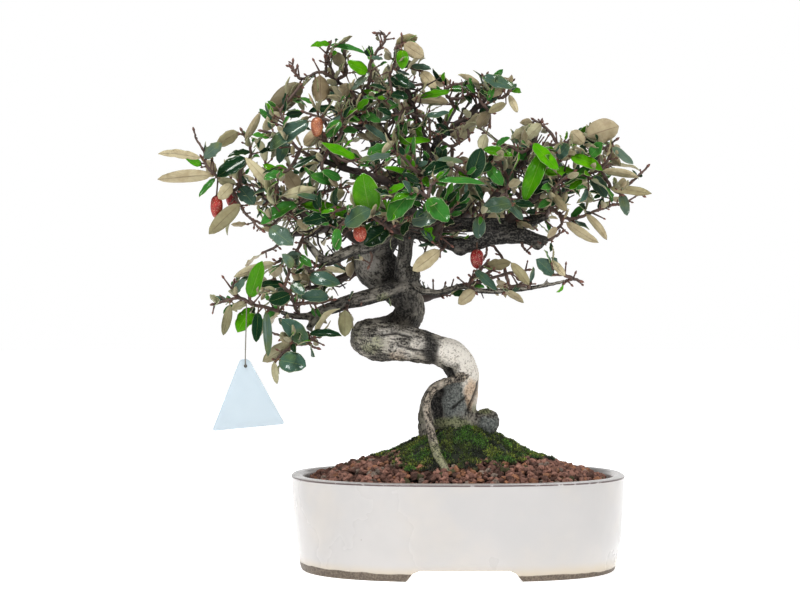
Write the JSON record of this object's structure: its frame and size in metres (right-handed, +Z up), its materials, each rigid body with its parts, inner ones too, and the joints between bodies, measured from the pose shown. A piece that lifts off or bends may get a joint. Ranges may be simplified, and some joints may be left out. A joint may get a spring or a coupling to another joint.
{
  "type": "thorny olive bonsai in a pot",
  "caption": "Small thorny olive bonsai with a looped trunk, leafy sprays, a few fruits and a bare hanging tag, growing from moss and granular soil in an oval glazed pot with feet.",
  "frame": {"origin": "centre of the plan outline of the whole tree and pot, at the surface that the pot stands on", "axes": "+Z up the tree, +X to the right along the pot's length and -Y towards the viewer, as the tree is shown from its front"},
  "size_m": [0.3072, 0.1726, 0.3384],
  "materials": {
    "glazed_stoneware": "satin ivory glaze over grey-brown stoneware",
    "net_plastic": "matt",
    "soil_granules": "matt, granular",
    "moss": "matt, tufted",
    "bark": "rough bark",
    "leaf": "glossy green above, tan and scaly beneath",
    "fruit_skin": "satin, speckled with pale scales",
    "tag_plastic": "smooth, slightly see-through",
    "thread": "matt"
  },
  "bodies": {
    "root": {"pot": "glazed_stoneware", "drain_net_left": "net_plastic", "drain_net_right": "net_plastic", "soil": "soil_granules", "moss": "moss", "trunk": "bark", "spray_left_tip": "leaf", "spray_left_upper": "leaf", "spray_left_centre": "leaf", "spray_left_middle": "leaf", "spray_top_left": "leaf", "spray_top_middle": "leaf", "spray_top_right": "leaf", "spray_crown_inner": "leaf", "spray_crown_right": "leaf", "spray_crown_far_right": "leaf", "spray_middle_front_left": "leaf", "spray_middle_front_right": "leaf", "spray_middle_upper": "leaf", "spray_right_inner": "leaf", "spray_right_upper": "leaf", "spray_right_top": "leaf", "spray_right_outer": "leaf", "spray_right_middle": "leaf", "spray_right_low": "leaf", "spray_right_low_tip": "leaf", "spray_right_low_middle": "leaf", "spray_right_under": "leaf", "spray_low_left_upper": "leaf", "spray_low_left_outer": "leaf", "spray_low_left_inner": "leaf", "spray_low_left_under": "leaf", "spray_low_left_spur": "leaf", "spray_back_left": "leaf", "spray_back_left_low": "leaf", "spray_back_left_middle": "leaf", "spray_back_middle": "leaf", "spray_back_crown": "leaf", "spray_back_top_left": "leaf", "spray_back_right_upper": "leaf", "spray_back_right_middle": "leaf", "spray_back_right_top": "leaf", "spray_back_right_outer": "leaf", "spray_inner_left": "leaf", "spray_inner_top": "leaf", "spray_inner_right": "leaf", "spray_inner_middle": "leaf", "spray_back_right_low": "leaf", "fruit_1": "fruit_skin", "fruit_2": "fruit_skin", "fruit_3": "fruit_skin", "fruit_4": "fruit_skin", "fruit_5": "fruit_skin", "label_tag": "tag_plastic", "tag_thread": "thread"}
  },
  "joints": []
}
